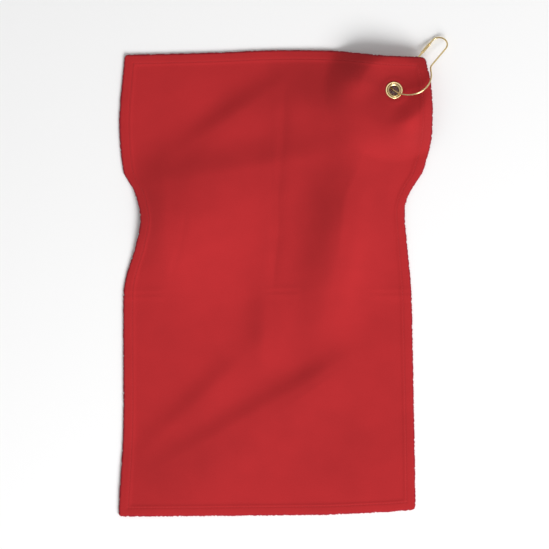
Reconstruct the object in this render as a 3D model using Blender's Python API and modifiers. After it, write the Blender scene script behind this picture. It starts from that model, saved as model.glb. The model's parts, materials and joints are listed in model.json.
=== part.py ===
"""Golf towel with a corner grommet and a sprung wire bag hook.

The towel lies face up on a surface, slightly gathered. All sizes are in metres, +Z is up.
+X runs across the towel, +Y runs along it towards the grommet end. Where the text says
"across" and "along" it means distances on the flat, uncut towel, from its lower left corner.
"""
import math

import bmesh
import bpy
from mathutils import Matrix, Vector

MM = 0.001
OBJECT_NAME = "golf_towel"
TOUCH_GAP = 0.3 * MM
WELD_DISTANCE = 0.001 * MM

# Towel as it was cut and hemmed
TOWEL_WIDTH = 279.4 * MM
TOWEL_LENGTH = 457.2 * MM
CLOTH_THICKNESS = 2.2 * MM
HEM_THICKNESS = 3.2 * MM
HEM_EDGE_THICKNESS = 2.0 * MM
HEM_SHOULDER = 3.0 * MM
STITCH_INSET = 9.0 * MM
HEM_END = 11.5 * MM
CORNER_ROUNDING = 5.0 * MM
CORNER_PULL = 1.5 * MM

# Sewing thread, which sinks into a groove on both faces
THREAD_RADIUS = 0.25 * MM
THREAD_GROOVE = 2.0 * THREAD_RADIUS + TOUCH_GAP

# How the towel lies: the folds take up a little of its length
LAID_LENGTH_RATIO = 0.960
CELLS_ACROSS = 22
CELLS_ALONG = 36
GRID_TOLERANCE = 0.1 * MM

# Sideways shift of each long edge, at a share of the length from the plain end
LEFT_EDGE = ((0.0, -2.0), (0.19, 2.5), (0.46, 2.6), (0.51, 4.5), (0.594, 15.0), (0.648, 18.8),
             (0.703, 13.1), (0.746, 2.6), (0.855, -1.2), (1.0, 3.6))
RIGHT_EDGE = ((0.0, 0.8), (0.19, -0.4), (0.46, -2.6), (0.51, -4.0), (0.594, -7.4), (0.667, -9.3),
              (0.706, -3.4), (0.746, 7.6), (0.811, 15.3), (0.88, 16.8), (0.943, 15.0), (1.0, 10.0))
# Lengthways shift of each short edge, at a share of the width from the left
PLAIN_EDGE = ((0.0, 0.0), (0.7, 1.6), (0.9, 4.2), (1.0, 6.2))
GROMMET_EDGE = ((0.0, -0.4), (0.3, 1.5), (0.5, 3.8), (0.7, 3.2), (0.84, -1.2), (1.0, -3.0))

# Folds: centre x and y, heading of the ridge in degrees, half length, half width to the left
# and to the right of the ridge, and height, in millimetres from the towel's middle
FOLDS = (
    ("left_fold", -94, 56, 92, 62, 28, 85, 16),
    ("arch", -14, 110, 10, 80, 22, 55, 9),
    ("right_spine", 70, 55, 79, 92, 26, 42, 14),
    ("right_rise", 64, 60, 82, 85, 58, 50, 7),
    ("grommet_ridge", 78, 170, 4, 74, 40, 48, 17),
    ("upper_diagonal", -36, 156, 34, 52, 16, 36, 8),
)
FOLD_SETTLE = 1.0 * MM
FOLD_SOFTNESS = 3.0 * MM

# Grommet: its place from the towel's own right and top edges, and how the corner leans
GROMMET_FROM_RIGHT = 34.3 * MM
GROMMET_FROM_TOP = 35.2 * MM
GROMMET_HEIGHT = 16.4 * MM
HOOK_HEADING = math.radians(50.0)
CORNER_PITCH = math.radians(12.0)
CORNER_FLAT_RADIUS = 30.0 * MM
CORNER_BLEND_RADIUS = 68.0 * MM
# The towel stands proud of the grommet's plane where the hook can swing, clear of it. The
# last two are cosines of the angle from the hook's heading, where the dish begins and is full
CORNER_DISH = 5.6 * MM
DISH_START = 12.0 * MM
DISH_END = 33.0 * MM
DISH_BEHIND = -0.95
DISH_ABREAST = -0.35

# Grommet: a flanged eyelet with a turned groove in its face, and a flat washer

EYELET_HOLE_RADIUS = 4.25 * MM
EYELET_FLANGE_RADIUS = 8.2 * MM
EYELET_WALL = 0.75 * MM
FLANGE_THICKNESS = 0.8 * MM
WASHER_RADIUS = 8.0 * MM
WASHER_THICKNESS = 0.5 * MM
WASHER_EDGE = 0.2 * MM
WASHER_CHAMFER = 0.3 * MM
CLOTH_PINCHED = 1.2 * MM
MOUTH_WIDENING = 1.9 * MM
CUTTER_REACH = 6.6 * MM
# The barrel's end, rolled outwards under the washer
LIP_REACH = 1.4 * MM
LIP_THICKNESS = 0.4 * MM
LIP_BEVEL = 0.3 * MM
BARREL_FILLET = 0.2 * MM
# Face of the flange, outwards: distance in from the rim, and depth under the top
FLANGE_FACE = ((2.0, 0.0), (1.5, 0.28), (0.9, 0.12), (0.3, 0.3))
FLANGE_RIM = 0.2 * MM
FLANGE_UNDERCUT = 0.1 * MM
MOUTH_STEPS = 6
MOUTH_CLEARANCE = 0.02 * MM
TURNED_STEPS = 32

# Hook, in its own plane: s runs from the grommet towards its nose, t to the right of that
WIRE_RADIUS = 0.8 * MM
# Gap left between a straight wire through the hole and the eyelet's lip; it sets the hook's roll
LIP_CLEARANCE = 0.54 * MM
LOOP_LENGTH = 40.6 * MM
LOOP_RIGHT_REACH = 25.1 * MM
LOOP_LEFT_REACH = 15.2 * MM
LOOP_OFFSET = 1.6 * MM
NECK_START = 38.9 * MM
NECK_LENGTH = 23.0 * MM
NECK_MIDDLE = 5.45 * MM
NECK_HALF_WIDTH = 8.5 * MM
NOSE_LENGTH = 7.4 * MM
SHOULDER_ROUNDING = 2.2 * MM
GATE_PIVOT_ANGLE = math.radians(38.0)
CATCH_LENGTH = 11.0 * MM
CATCH_CLEARANCE = 0.35 * MM
CATCH_WALL = 0.5 * MM
CATCH_NOSE = 2.6 * MM
CATCH_FROM_NOSE = 4.8 * MM
CATCH_MOUTH = math.radians(55.0)
CATCH_STEPS = 10
CATCH_OVERLAP = 0.2 * MM
GATE_TIP_CLEARANCE = 1.5 * MM
# Angles round the loop at which the legs' shoulders begin, and where the wire passes the hole
LEFT_LOOP_END = math.radians(148.0)
RIGHT_LOOP_END = math.radians(136.0)
HOLE_ANGLE_LEFT = math.radians(6.0)
HOLE_ANGLE_RIGHT = math.radians(2.0)


def clear_scene():
    for scene_object in list(bpy.data.objects):
        bpy.data.objects.remove(scene_object, do_unlink=True)


def make_collection(name):
    collection = bpy.data.collections.new(name)
    bpy.context.scene.collection.children.link(collection)
    return collection


def make_material(name, colour, roughness, metallic):
    material = bpy.data.materials.new(name)
    material.use_nodes = True
    shader = material.node_tree.nodes["Principled BSDF"]
    shader.inputs["Base Color"].default_value = (*colour, 1.0)
    shader.inputs["Roughness"].default_value = roughness
    shader.inputs["Metallic"].default_value = metallic
    return material


def make_empty(name, matrix, parent, collection):
    empty = bpy.data.objects.new(name, None)
    collection.objects.link(empty)
    empty.parent = parent
    empty.matrix_basis = matrix
    return empty


def add_object(name, data, material, collection, parent=None, matrix=None):
    new_object = bpy.data.objects.new(name, data)
    new_object.data.materials.append(material)
    collection.objects.link(new_object)
    new_object.parent = parent
    if matrix is not None:
        new_object.matrix_basis = matrix
    return new_object


def bmesh_to_mesh(name, shape):
    mesh = bpy.data.meshes.new(name)
    shape.to_mesh(mesh)
    shape.free()
    return mesh


def smoothstep(value):
    share = min(max(value, 0.0), 1.0)
    return share * share * (3.0 - 2.0 * share)


def through_points(points, share):
    """Smooth curve through (share, value) points, level at neither end."""
    for index in range(len(points) - 1):
        if share <= points[index + 1][0] or index == len(points) - 2:
            break
    before = points[max(index - 1, 0)][1]
    start_share, start = points[index]
    end_share, end = points[index + 1]
    after = points[min(index + 2, len(points) - 1)][1]
    t = (share - start_share) / (end_share - start_share)
    bend = 2 * before - 5 * start + 4 * end - after
    twist = 3 * (start - end) + after - before
    return start + 0.5 * t * (end - before + t * (bend + t * twist))


# ---------------------------------------------------------------- the towel as it lies

def laid_place(across, along):
    """Where a point of the flat towel lies, seen from above."""
    share_x = across / TOWEL_WIDTH
    share_y = along / TOWEL_LENGTH
    left = -TOWEL_WIDTH / 2 + through_points(LEFT_EDGE, share_y) * MM
    right = TOWEL_WIDTH / 2 + through_points(RIGHT_EDGE, share_y) * MM
    laid_length = TOWEL_LENGTH * LAID_LENGTH_RATIO
    bottom = -laid_length / 2 + through_points(PLAIN_EDGE, share_x) * MM
    top = laid_length / 2 + through_points(GROMMET_EDGE, share_x) * MM
    return left + (right - left) * share_x, bottom + (top - bottom) * share_y


def grommet_matrix():
    """Frame of the grommet: x towards the hook's nose, z along the hole, at mid cloth."""
    across = TOWEL_WIDTH - GROMMET_FROM_RIGHT
    along = TOWEL_LENGTH - GROMMET_FROM_TOP
    x, y = laid_place(across, along)
    place = Matrix.Translation((x, y, GROMMET_HEIGHT))
    heading = Matrix.Rotation(HOOK_HEADING, 4, "Z")
    pitch = Matrix.Rotation(CORNER_PITCH, 4, "Y")
    return place @ heading @ pitch


def fold_height(x, y):
    """Height of the towel's underside over the surface, from the folds alone."""
    total = -FOLD_SETTLE
    for _name, centre_x, centre_y, heading, half_length, left_width, right_width, height in FOLDS:
        angle = math.radians(heading)
        offset_x = x - centre_x * MM
        offset_y = y - centre_y * MM
        forward = offset_x * math.cos(angle) + offset_y * math.sin(angle)
        sideways = offset_y * math.cos(angle) - offset_x * math.sin(angle)
        half_width = left_width if sideways > 0.0 else right_width
        falloff = (forward / (half_length * MM)) ** 2 + (sideways / (half_width * MM)) ** 2
        total += height * MM * math.exp(-falloff)
    if total <= 0.0:
        return 0.0
    return total * total / (total + FOLD_SOFTNESS)


def underside_height(x, y, grommet):
    """Height of the underside, with the corner brought to the grommet's plane."""
    centre = grommet.translation
    normal = grommet.col[2].xyz
    away_x = x - centre.x
    away_y = y - centre.y
    reach = math.hypot(away_x, away_y)
    facing = away_x * math.cos(HOOK_HEADING) + away_y * math.sin(HOOK_HEADING)
    sector = facing / max(reach, MM) - DISH_BEHIND
    dish = CORNER_DISH * smoothstep((reach - DISH_START) / (DISH_END - DISH_START))
    dish *= smoothstep(sector / (DISH_ABREAST - DISH_BEHIND))
    plane = centre.z - (normal.x * away_x + normal.y * away_y) / normal.z
    plane += (dish - CLOTH_THICKNESS / 2) / normal.z
    blend_width = CORNER_BLEND_RADIUS - CORNER_FLAT_RADIUS
    share = smoothstep((CORNER_BLEND_RADIUS - reach) / blend_width)
    return fold_height(x, y) * (1.0 - share) + plane * share


def hem_lines(cells, size):
    """Distances of the grid lines: four for each hem, and even cells between them."""
    lines = [0.0, HEM_SHOULDER, STITCH_INSET, HEM_END]
    inner = size - 2 * HEM_END
    for index in range(1, cells):
        lines.append(HEM_END + inner * index / cells)
    for inset in (HEM_END, STITCH_INSET, HEM_SHOULDER, 0.0):
        lines.append(size - inset)
    return lines


def edge_distance(across, along):
    return min(across, TOWEL_WIDTH - across, along, TOWEL_LENGTH - along)


def cloth_layers(across, along):
    """Height of the bottom and top of the cloth over its resting underside."""
    inset = edge_distance(across, along)
    if inset < HEM_SHOULDER / 2:
        sink = (HEM_THICKNESS - HEM_EDGE_THICKNESS) / 2
        return sink, HEM_THICKNESS - sink
    if abs(inset - STITCH_INSET) < GRID_TOLERANCE:
        return THREAD_GROOVE, HEM_THICKNESS - THREAD_GROOVE
    if inset < HEM_END - GRID_TOLERANCE:
        return 0.0, HEM_THICKNESS
    return 0.0, CLOTH_THICKNESS


def rounded_corner(across, along):
    """Draw the four tips of the towel in a little."""
    result = []
    for value, other, size, other_size in (
        (across, along, TOWEL_WIDTH, TOWEL_LENGTH),
        (along, across, TOWEL_LENGTH, TOWEL_WIDTH),
    ):
        near_end = min(other, other_size - other)
        pull = CORNER_PULL * smoothstep(1.0 - near_end / CORNER_ROUNDING)
        pull *= smoothstep(1.0 - min(value, size - value) / CORNER_ROUNDING)
        result.append(value + pull if value < size / 2 else value - pull)
    return result


def cloth_point(across, along, layer, grommet):
    """A point on the bottom (0) or top (1) of the cloth as it lies."""
    x, y = laid_place(*rounded_corner(across, along))
    height = underside_height(x, y, grommet)
    return Vector((x, y, height + cloth_layers(across, along)[layer]))


def make_towel_cloth(grommet, material, collection, parent, cutters):
    columns = hem_lines(CELLS_ACROSS, TOWEL_WIDTH)
    rows = hem_lines(CELLS_ALONG, TOWEL_LENGTH)
    shape = bmesh.new()
    bmesh.ops.create_grid(shape, x_segments=len(columns) - 1, y_segments=len(rows) - 1, size=0.5)
    places = {}
    for vert in shape.verts:
        column = round((vert.co.x + 0.5) * (len(columns) - 1))
        row = round((vert.co.y + 0.5) * (len(rows) - 1))
        places[vert.index] = (columns[column], rows[row])
    bottom_verts = list(shape.verts)
    bmesh.ops.reverse_faces(shape, faces=shape.faces)
    result = bmesh.ops.extrude_face_region(shape, geom=shape.faces[:], use_keep_orig=True)
    top_verts = [item for item in result["geom"] if isinstance(item, bmesh.types.BMVert)]
    bottom_by_place = {(round(v.co.x, 6), round(v.co.y, 6)): v.index for v in bottom_verts}
    for vert in top_verts:
        across, along = places[bottom_by_place[(round(vert.co.x, 6), round(vert.co.y, 6))]]
        vert.co = cloth_point(across, along, 1, grommet)
    for vert in bottom_verts:
        across, along = places[vert.index]
        vert.co = cloth_point(across, along, 0, grommet)
    bmesh.ops.triangulate(shape, faces=shape.faces)
    bmesh.ops.recalc_face_normals(shape, faces=shape.faces)
    cloth = add_object("towel_cloth", bmesh_to_mesh("towel_cloth", shape), material, collection,
                       parent)
    for cutter in cutters:
        cut = cloth.modifiers.new(cutter.name, "BOOLEAN")
        cut.operation = "DIFFERENCE"
        cut.solver = "EXACT"
        cut.object = cutter
    return cloth


def make_hem_thread(name, places, layer, grommet, material, collection, parent):
    """One row of lock stitch, in the groove of the hem's top (1) or bottom (0)."""
    offset = TOUCH_GAP + THREAD_RADIUS
    points = []
    for across, along in places:
        point = cloth_point(across, along, layer, grommet)
        point.z += offset if layer == 1 else -offset
        points.append(point)
    curve = poly_curve(name, points, THREAD_RADIUS, 0)
    return add_object(name, curve, material, collection, parent)


def make_hem_threads(grommet, material, collection, parent):
    columns = hem_lines(CELLS_ACROSS, TOWEL_WIDTH)[2:-2]
    rows = hem_lines(CELLS_ALONG, TOWEL_LENGTH)[3:-3]
    sides = {
        "plain_end": [(across, STITCH_INSET) for across in columns],
        "grommet_end": [(across, TOWEL_LENGTH - STITCH_INSET) for across in columns],
        "left": [(STITCH_INSET, along) for along in rows],
        "right": [(TOWEL_WIDTH - STITCH_INSET, along) for along in rows],
    }
    for side, places in sides.items():
        make_hem_thread("needle_thread_" + side, places, 1, grommet, material, collection, parent)
        make_hem_thread("bobbin_thread_" + side, places, 0, grommet, material, collection, parent)


# ---------------------------------------------------------------- wire and turned pieces

def poly_curve(name, points, radius, resolution):
    curve = bpy.data.curves.new(name, "CURVE")
    curve.dimensions = "3D"
    curve.bevel_depth = radius
    curve.bevel_resolution = resolution
    curve.use_fill_caps = True
    spline = curve.splines.new("POLY")
    spline.points.add(len(points) - 1)
    for spline_point, point in zip(spline.points, points):
        spline_point.co = (*point, 1.0)
    return curve


def curve_to_mesh(curve_object, name):
    """The curve's solid as a mesh with its caps welded on."""
    graph = bpy.context.evaluated_depsgraph_get()
    mesh = bpy.data.meshes.new_from_object(curve_object.evaluated_get(graph))
    shape = bmesh.new()
    shape.from_mesh(mesh)
    bmesh.ops.remove_doubles(shape, verts=shape.verts, dist=WELD_DISTANCE)
    bmesh.ops.recalc_face_normals(shape, faces=shape.faces)
    shape.to_mesh(mesh)
    shape.free()
    mesh.name = name
    return mesh


def make_turned(name, profile, material, collection, parent):
    """Spin a closed (radius, height) outline about z."""
    mesh = bpy.data.meshes.new(name)
    corners = [(radius, 0.0, height) for radius, height in profile]
    edges = [(index, (index + 1) % len(corners)) for index in range(len(corners))]
    mesh.from_pydata(corners, edges, [])
    turned = add_object(name, mesh, material, collection, parent)
    spin = turned.modifiers.new("spin", "SCREW")
    spin.steps = TURNED_STEPS
    spin.render_steps = TURNED_STEPS
    spin.use_merge_vertices = True
    spin.merge_threshold = WELD_DISTANCE
    spin.use_smooth_shade = True
    return turned


def eyelet_mouth(height, half_height):
    """Radius of the flared hole at a height."""
    share = min(abs(height) / half_height, 1.0)
    return EYELET_HOLE_RADIUS + MOUTH_WIDENING * (1.0 - math.sqrt(1.0 - share * share))


def eyelet_levels():
    """Heights of the flange and washer faces over the middle of the cloth."""
    flange_under = CLOTH_PINCHED / 2 + TOUCH_GAP
    flange_top = flange_under + FLANGE_THICKNESS
    washer_under = flange_under + WASHER_THICKNESS
    lip_top = washer_under + TOUCH_GAP
    return flange_under, flange_top, washer_under, lip_top


def hook_roll():
    """Tilt of the hook about its heading at which the wire clears the lip under the hole."""
    lip_edge = EYELET_HOLE_RADIUS + EYELET_WALL + LIP_REACH - LIP_BEVEL
    lip_under = eyelet_levels()[3] + LIP_THICKNESS
    clear = math.asin((WIRE_RADIUS + LIP_CLEARANCE) / math.hypot(lip_edge, lip_under))
    return math.atan2(lip_under, lip_edge) + clear


def eyelet_profile():
    flange_under, flange_top, _washer_under, lip_top = eyelet_levels()
    barrel = EYELET_HOLE_RADIUS + EYELET_WALL
    lip_under = lip_top + LIP_THICKNESS
    lip_radius = barrel + LIP_REACH
    rim = EYELET_FLANGE_RADIUS
    profile = [(rim - inwards * MM, flange_top - depth * MM) for inwards, depth in FLANGE_FACE]
    profile += [
        (rim, flange_under + FLANGE_RIM),
        (rim - FLANGE_UNDERCUT, flange_under),
        (barrel, flange_under),
        (barrel, -flange_under),
        (barrel + BARREL_FILLET, -lip_top),
        (lip_radius, -lip_top),
        (lip_radius, -lip_top - LIP_THICKNESS / 2),
        (lip_radius - LIP_BEVEL, -lip_under),
    ]
    for index in range(MOUTH_STEPS + 1):
        height = -lip_under + lip_under * index / MOUTH_STEPS
        profile.append((eyelet_mouth(height, lip_under + MOUTH_CLEARANCE), height))
    for index in range(1, MOUTH_STEPS + 1):
        height = flange_top * index / MOUTH_STEPS
        profile.append((eyelet_mouth(height, flange_top + MOUTH_CLEARANCE), height))
    return profile


def washer_profile():
    flange_under, _flange_top, washer_under, _lip_top = eyelet_levels()
    inner = EYELET_HOLE_RADIUS + EYELET_WALL + BARREL_FILLET + TOUCH_GAP
    return [
        (WASHER_RADIUS - WASHER_EDGE, -flange_under),
        (WASHER_RADIUS, -flange_under - WASHER_EDGE),
        (WASHER_RADIUS - WASHER_CHAMFER, -washer_under),
        (inner, -washer_under),
        (inner, -flange_under),
    ]


def make_cutter(name, radius, low, high, collection, parent):
    shape = bmesh.new()
    middle = Matrix.Translation((0.0, 0.0, (low + high) / 2))
    bmesh.ops.create_cone(shape, cap_ends=True, segments=TURNED_STEPS, radius1=radius, radius2=radius,
                          depth=high - low, matrix=middle)
    cutter = bpy.data.objects.new(name, bmesh_to_mesh(name, shape))
    collection.objects.link(cutter)
    cutter.parent = parent
    cutter.hide_render = True
    cutter.display_type = "WIRE"
    return cutter


def make_grommet_cutters(collection, parent):
    """The hole in the cloth, and the two seats that the flange and washer press into it."""
    barrel = EYELET_HOLE_RADIUS + EYELET_WALL + TOUCH_GAP
    reach = CUTTER_REACH
    flange_seat = EYELET_FLANGE_RADIUS + TOUCH_GAP
    washer_seat = WASHER_RADIUS + TOUCH_GAP
    pinched = CLOTH_PINCHED / 2
    return (
        make_cutter("grommet_hole_cut", barrel, -reach, reach, collection, parent),
        make_cutter("flange_seat_cut", flange_seat, pinched, reach, collection, parent),
        make_cutter("washer_seat_cut", washer_seat, -reach, -pinched, collection, parent),
    )


# ---------------------------------------------------------------- the hook

def in_hook_plane(s, t):
    """Hook plane point: s towards the nose, t to the right."""
    return Vector((s, -t, 0.0))


def rounded_corner_points(before, corner, after, radius):
    start = corner + (before - corner).normalized() * radius
    end = corner + (after - corner).normalized() * radius
    points = []
    for index in range(5):
        share = index / 4
        points.append(start.lerp(corner, share).lerp(corner.lerp(end, share), share))
    return points


def left_loop_point(angle):
    half = LOOP_LENGTH / 2
    return in_hook_plane(half * (1.0 - math.cos(angle)), -LOOP_LEFT_REACH * math.sin(angle))


def right_loop_point(angle):
    half = LOOP_LENGTH / 2
    reach = LOOP_RIGHT_REACH - LOOP_OFFSET
    t = LOOP_OFFSET + reach * math.sin(angle)
    return in_hook_plane(half * (1.0 - math.cos(angle)), t)


def arc_points(point_at, start, end, count):
    return [point_at(start + (end - start) * index / count) for index in range(count + 1)]


def catch_start():
    """Distance s of the closed end of the catch."""
    return NECK_START + NECK_LENGTH - CATCH_FROM_NOSE


def gate_points():
    left = NECK_MIDDLE - NECK_HALF_WIDTH
    loop = arc_points(left_loop_point, GATE_PIVOT_ANGLE, LEFT_LOOP_END, 14)
    shoulder = in_hook_plane(NECK_START, left)
    tip = in_hook_plane(catch_start() - GATE_TIP_CLEARANCE, left)
    bend = rounded_corner_points(loop[-1], shoulder, tip, SHOULDER_ROUNDING)
    return loop + bend + [bend[-1].lerp(tip, 0.5), tip]


def hook_points():
    pivot = GATE_PIVOT_ANGLE - TOUCH_GAP / LOOP_LEFT_REACH
    hole_angle = -math.asin(LOOP_OFFSET / (LOOP_RIGHT_REACH - LOOP_OFFSET))
    under = arc_points(left_loop_point, pivot, HOLE_ANGLE_LEFT, 4)
    over = arc_points(right_loop_point, hole_angle + HOLE_ANGLE_RIGHT, RIGHT_LOOP_END, 24)
    right = NECK_MIDDLE + NECK_HALF_WIDTH
    left = NECK_MIDDLE - NECK_HALF_WIDTH
    neck_end = NECK_START + NECK_LENGTH
    shoulder = in_hook_plane(NECK_START, right)
    leg_end = in_hook_plane(neck_end, right)
    bend = rounded_corner_points(over[-1], shoulder, leg_end, SHOULDER_ROUNDING)
    leg = [bend[-1].lerp(leg_end, share / 4) for share in (1, 2, 3)]
    nose = []
    for index in range(15):
        angle = math.pi * index / 14
        reach = NECK_HALF_WIDTH * math.cos(angle)
        nose.append(in_hook_plane(neck_end + NOSE_LENGTH * math.sin(angle), NECK_MIDDLE + reach))
    end = in_hook_plane(catch_start() + CATCH_NOSE / 2, left)
    return under + over + bend + leg + nose + [end]


def make_catch_channel(collection):
    """Channel pressed from the wire's end, open towards the inside of the hook."""
    inner = WIRE_RADIUS + CATCH_CLEARANCE
    outer = inner + CATCH_WALL
    outline = []
    for radius, order in ((outer, range(CATCH_STEPS + 1)), (inner, range(CATCH_STEPS, -1, -1))):
        for index in order:
            angle = CATCH_MOUTH + (2 * math.pi - 2 * CATCH_MOUTH) * index / CATCH_STEPS
            outline.append((radius * math.cos(angle), radius * math.sin(angle), 0.0))
    curve = bpy.data.curves.new("catch_channel", "CURVE")
    curve.dimensions = "2D"
    curve.fill_mode = "BOTH"
    curve.extrude = CATCH_LENGTH / 2
    spline = curve.splines.new("POLY")
    spline.points.add(len(outline) - 1)
    for spline_point, corner in zip(spline.points, outline):
        spline_point.co = (*corner, 1.0)
    spline.use_cyclic_u = True
    channel = bpy.data.objects.new("catch_channel_curve", curve)
    collection.objects.link(channel)
    mesh = curve_to_mesh(channel, "catch_channel")
    bpy.data.objects.remove(channel, do_unlink=True)
    return mesh


def add_cutter_mesh(name, mesh, matrix, parent, collection):
    tool = bpy.data.objects.new(name, mesh)
    collection.objects.link(tool)
    tool.parent = parent
    tool.matrix_basis = matrix
    tool.hide_render = True
    tool.display_type = "WIRE"
    return tool


def make_hook_wire(material, collection, cutters, parent):
    """Loop, neck and nose, with the catch formed on the wire's end."""
    curve = poly_curve("hook_wire_curve", hook_points(), WIRE_RADIUS, 2)
    guide = bpy.data.objects.new("hook_wire_curve", curve)
    collection.objects.link(guide)
    mesh = curve_to_mesh(guide, "hook_wire")
    bpy.data.objects.remove(guide, do_unlink=True)
    wire = add_object("hook_wire", mesh, material, collection, parent)
    mesh.shade_smooth()

    left = NECK_MIDDLE - NECK_HALF_WIDTH
    outer = WIRE_RADIUS + CATCH_CLEARANCE + CATCH_WALL
    axes = Matrix(((0, 0, 1, 0), (-1, 0, 0, 0), (0, -1, 0, 0), (0, 0, 0, 1)))
    channel_middle = in_hook_plane(catch_start() + CATCH_OVERLAP - CATCH_LENGTH / 2, left)
    channel_place = Matrix.Translation(channel_middle) @ axes
    channel = add_cutter_mesh("catch_channel", make_catch_channel(cutters), channel_place,
                              parent, cutters)
    shape = bmesh.new()
    bmesh.ops.create_cone(shape, cap_ends=True, segments=16, radius1=outer - 0.02 * MM,
                          radius2=WIRE_RADIUS * 1.05, depth=CATCH_NOSE)
    nose_middle = in_hook_plane(catch_start() + CATCH_NOSE / 2, left)
    nose_place = Matrix.Translation(nose_middle) @ axes
    nose = add_cutter_mesh("catch_nose", bmesh_to_mesh("catch_nose", shape), nose_place,
                           parent, cutters)
    for tool in (nose, channel):
        join = wire.modifiers.new(tool.name, "BOOLEAN")
        join.operation = "UNION"
        join.solver = "EXACT"
        join.object = tool
    return wire


def make_hook_gate(material, collection, parent):
    """The springy half of the wire, with its origin where it flexes."""
    points = gate_points()
    pivot = points[0]
    moved = [point - pivot for point in points]
    curve = poly_curve("hook_gate", moved, WIRE_RADIUS, 2)
    return add_object("hook_gate", curve, material, collection, parent,
                      Matrix.Translation(pivot))


def centre_on_origin(root, collection):
    """Put the middle of the whole object's footprint over the origin."""
    bpy.context.view_layer.update()
    graph = bpy.context.evaluated_depsgraph_get()
    low = Vector((math.inf, math.inf))
    high = Vector((-math.inf, -math.inf))
    for part in collection.objects:
        if part.type == "EMPTY":
            continue
        evaluated = part.evaluated_get(graph)
        mesh = evaluated.to_mesh()
        for vert in mesh.vertices:
            place = evaluated.matrix_world @ vert.co
            low = Vector((min(low.x, place.x), min(low.y, place.y)))
            high = Vector((max(high.x, place.x), max(high.y, place.y)))
        evaluated.to_mesh_clear()
    middle = (low + high) / 2
    root.location = (-middle.x, -middle.y, 0.0)


def main():
    clear_scene()
    parts = make_collection(OBJECT_NAME)
    cutters = make_collection(OBJECT_NAME + "_cutters")
    cotton = make_material("red_cotton", (0.46, 0.028, 0.031), 0.95, 0.0)
    thread = make_material("red_thread", (0.50, 0.045, 0.045), 0.6, 0.0)
    brass = make_material("grommet_brass", (0.62, 0.46, 0.20), 0.3, 1.0)
    gilt = make_material("hook_brass", (0.78, 0.58, 0.24), 0.2, 1.0)

    root = make_empty("towel_root", Matrix.Identity(4), None, parts)
    grommet = grommet_matrix()
    grommet_axis = make_empty("grommet_axis", grommet, root, parts)
    hook_plane = make_empty("hook_plane", Matrix.Rotation(-hook_roll(), 4, "X"), grommet_axis, parts)

    grommet_cutters = make_grommet_cutters(cutters, grommet_axis)
    make_towel_cloth(grommet, cotton, parts, root, grommet_cutters)
    make_hem_threads(grommet, thread, parts, root)
    make_turned("grommet_eyelet", eyelet_profile(), brass, parts, grommet_axis)
    make_turned("grommet_washer", washer_profile(), brass, parts, grommet_axis)
    make_hook_wire(gilt, parts, cutters, hook_plane)
    make_hook_gate(gilt, parts, hook_plane)
    centre_on_origin(root, parts)


main()
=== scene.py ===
"""Golf towel: deep red cotton velour, lying gathered, with a brass grommet and a sprung wire hook.

Sizes are in metres unless a name says otherwise. "across" and "along" are distances on the flat
towel, from its lower left corner; "s" and "t" are distances in the hook's own plane, from the
grommet towards the hook's nose and to the right of that line.
"""
import json
import math

import bmesh
import bpy
import numpy as np
from mathutils import Matrix, Vector


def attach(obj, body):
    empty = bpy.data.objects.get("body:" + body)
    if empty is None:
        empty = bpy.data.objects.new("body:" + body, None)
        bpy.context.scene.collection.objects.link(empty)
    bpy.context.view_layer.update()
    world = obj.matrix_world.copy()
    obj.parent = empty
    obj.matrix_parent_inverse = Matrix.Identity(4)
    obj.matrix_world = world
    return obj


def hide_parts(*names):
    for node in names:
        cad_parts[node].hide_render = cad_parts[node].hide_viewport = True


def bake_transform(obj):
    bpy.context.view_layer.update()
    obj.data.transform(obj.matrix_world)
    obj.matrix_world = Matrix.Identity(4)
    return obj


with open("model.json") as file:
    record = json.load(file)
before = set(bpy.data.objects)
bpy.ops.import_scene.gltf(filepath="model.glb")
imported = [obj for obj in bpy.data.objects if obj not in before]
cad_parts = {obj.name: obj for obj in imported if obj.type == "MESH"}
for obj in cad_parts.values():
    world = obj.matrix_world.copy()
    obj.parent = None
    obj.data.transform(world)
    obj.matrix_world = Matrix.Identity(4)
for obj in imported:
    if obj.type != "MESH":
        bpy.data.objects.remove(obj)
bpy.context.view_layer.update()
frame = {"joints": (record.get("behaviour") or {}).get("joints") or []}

bl_info = {
    "name": "Golf towel",
    "version": (1, 0, 0),
    "blender": (4, 5, 0),
    "location": "View3D > Sidebar > Golf towel",
    "description": "Builds a hemmed velour golf towel with its grommet and spring hook",
    "category": "Add Mesh",
}

MM = 0.001
GOLDEN_ANGLE = 2.399

# Flat towel and its hem
TOWEL_WIDTH = 279.4 * MM
TOWEL_LENGTH = 457.2 * MM
CLOTH_THICKNESS = 2.2 * MM
HEM_THICKNESS = 2.8 * MM
STITCH_INSET = 9.0 * MM
HEM_FLAP = 10.8 * MM
HEM_ROLL = 1.6 * MM
ROLL_LEAST = 0.03
HEM_STEP = 3.0 * MM
HEM_PLUMPNESS = 0.12 * MM
PLUMP_SPACING = 9.0 * MM
PLUMP_VARIATION = 0.35
CORNER_ROUNDING = 5.0 * MM
CORNER_PULL = 0.7
# Grid lines over a hem, in millimetres from the edge
HEM_LINES = (0.0, 0.25, 0.7, 1.4, 2.6, 4.2, 5.8, 7.2, 8.1, 8.6, 9.0, 9.4, 9.9, 10.6, 11.3, 12.6)
# Scallops of the pile along the edge: depth, seed and spacing
SCALLOPS = ((0.9 * MM, 2, 3.1 * MM), (0.5 * MM, 5, 2.0 * MM))
SCALLOP_REACH = 1.8 * MM
RIM_WIDTH = 1.0 * MM

# Sewing
SEAM_GROOVE_WIDTH = 0.8 * MM
NEEDLE_HOLE_SHARE = 0.25
ROW_OVERRUN = 2.0 * MM
ROW_FADE = 1.0 * MM
STITCH_GAP = 0.06
STITCH_FLATNESS = 1.2

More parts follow.
